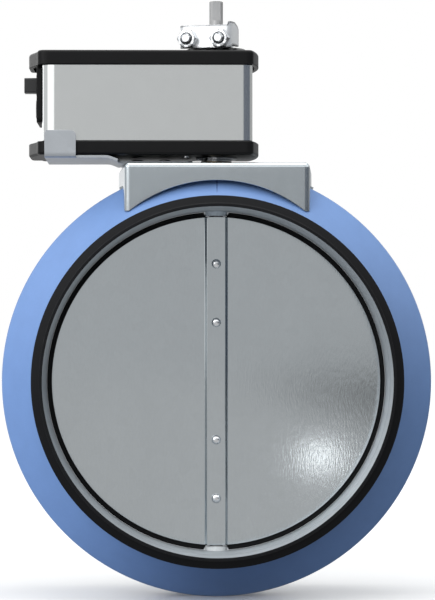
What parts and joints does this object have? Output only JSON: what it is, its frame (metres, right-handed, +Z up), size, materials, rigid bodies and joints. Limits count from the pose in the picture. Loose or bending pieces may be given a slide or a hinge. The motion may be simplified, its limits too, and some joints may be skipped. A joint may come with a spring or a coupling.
{
  "type": "round duct damper",
  "caption": "Insulated round duct shut-off damper: turning blade with rubber seal in a double-skin casing, rotary actuator with shaft clamp on a console above.",
  "frame": {"origin": "where the duct's axis crosses the blade's shaft", "axes": "+Y along the duct, away from the pictured front; +Z up the shaft to the actuator; +X to the right as seen from the front"},
  "size_m": [0.248, 0.15, 0.3463],
  "materials": {
    "galvanised_sheet": "bright galvanised sheet",
    "gasket_rubber": "matt black rubber",
    "blue_sheet": "satin light blue coating on sheet",
    "mineral_wool": "mineral wool",
    "bearing_plastic": "black moulded plastic",
    "sleeve_plastic": "grey plastic tube",
    "console_steel": "galvanised sheet",
    "bracket_zinc": "zinc plated sheet",
    "bronze": "sintered bronze",
    "fastener_steel": "zinc plated steel",
    "blade_sheet": "galvanised sheet with fine grain",
    "seal_rubber": "matt black rubber",
    "shaft_steel": "turned steel",
    "case_plastic": "fine-grained black plastic",
    "silver_body": "satin silver",
    "gear_steel": "machined steel",
    "gear_brass": "machined brass",
    "clamp_zinc": "bright zinc plating",
    "inlet_rubber": "black rubber",
    "button_plastic": "smooth black plastic",
    "spring_steel": "spring wire",
    "selector_plastic": "grey plastic",
    "board_green": "green lacquered board"
  },
  "bodies": {
    "casing": {"duct_tube": "galvanised_sheet", "front_gasket": "gasket_rubber", "rear_gasket": "gasket_rubber", "shell_band": "blue_sheet", "front_cone": "blue_sheet", "rear_cone": "blue_sheet", "insulation": "mineral_wool", "upper_bearing": "bearing_plastic", "lower_bearing": "bearing_plastic", "shaft_sleeve": "sleeve_plastic", "console": "console_steel", "console_bearing": "bronze", "console_rivet_1": "fastener_steel", "console_rivet_2": "fastener_steel", "console_rivet_3": "fastener_steel", "console_rivet_4": "fastener_steel", "anti_rotation_bracket": "bracket_zinc", "bracket_screw_1": "fastener_steel", "bracket_screw_2": "fastener_steel", "actuator_base": "case_plastic", "actuator_body": "silver_body", "actuator_cover": "case_plastic", "case_screw_1": "fastener_steel", "case_screw_2": "fastener_steel", "case_screw_3": "fastener_steel", "case_screw_4": "fastener_steel", "end_panel": "case_plastic", "cable_inlet": "inlet_rubber", "gear_plate": "gear_steel", "gear_plate_screw_1": "fastener_steel", "gear_plate_screw_2": "fastener_steel", "arbor_1": "gear_steel", "arbor_2": "gear_steel", "motor_can": "gear_steel", "circuit_board": "board_green", "button_spring": "spring_steel"},
    "blade": {"shaft": "shaft_steel", "front_blade_plate": "blade_sheet", "rear_blade_plate": "blade_sheet", "left_blade_seal": "seal_rubber", "right_blade_seal": "seal_rubber", "blade_rivet_1": "fastener_steel", "blade_rivet_2": "fastener_steel", "blade_rivet_3": "fastener_steel", "blade_rivet_4": "fastener_steel", "drive_hub": "gear_steel", "hub_retaining_ring": "spring_steel", "clamp_saddle": "clamp_zinc", "clamp_bracket": "clamp_zinc", "u_bolt": "clamp_zinc", "clamp_nut_1": "clamp_zinc", "clamp_nut_2": "clamp_zinc"},
    "first_gear": {"first_gear": "gear_brass"},
    "second_gear": {"second_gear": "gear_brass"},
    "motor_pinion": {"motor_pinion": "gear_brass"},
    "release_button": {"release_button": "button_plastic"},
    "direction_selector": {"direction_selector": "selector_plastic"}
  },
  "joints": [
    {"name": "blade_turn", "type": "hinge", "parent": "casing", "child": "blade", "pos_m": [0, 0, 0], "axis": [0, 0, 1], "range_deg": [0, 90]},
    {"name": "first_gear_spin", "type": "hinge", "parent": "casing", "child": "first_gear", "pos_m": [-0.033, 0, 0.17], "axis": [0, 0, 1], "range_deg": [-505, 0.5]},
    {"name": "second_gear_spin", "type": "hinge", "parent": "casing", "child": "second_gear", "pos_m": [-0.04502, 0.01202, 0.16], "axis": [0, 0, 1], "range_deg": [-1, 1212]},
    {"name": "motor_pinion_spin", "type": "hinge", "parent": "casing", "child": "motor_pinion", "pos_m": [-0.061, 0.00621, 0.155], "axis": [0, 0, 1], "range_deg": [-2908, 2]},
    {"name": "release_button_slide", "type": "slide", "parent": "casing", "child": "release_button", "axis": [1, 0, 0], "range_m": [0, 0.003], "stiffness_N_per_m": 300, "springref_m": -0.002, "deforming": ["button_spring"]},
    {"name": "direction_selector_turn", "type": "hinge", "parent": "casing", "child": "direction_selector", "pos_m": [-0.07, -0.016, 0.19], "axis": [0, 0, 1], "range_deg": [0, 90]}
  ],
  "couplings": [
    {"joint": "first_gear_spin", "follows": "blade_turn", "ratio": -5.6},
    {"joint": "second_gear_spin", "follows": "blade_turn", "ratio": 13.44},
    {"joint": "motor_pinion_spin", "follows": "blade_turn", "ratio": -32.256}
  ]
}
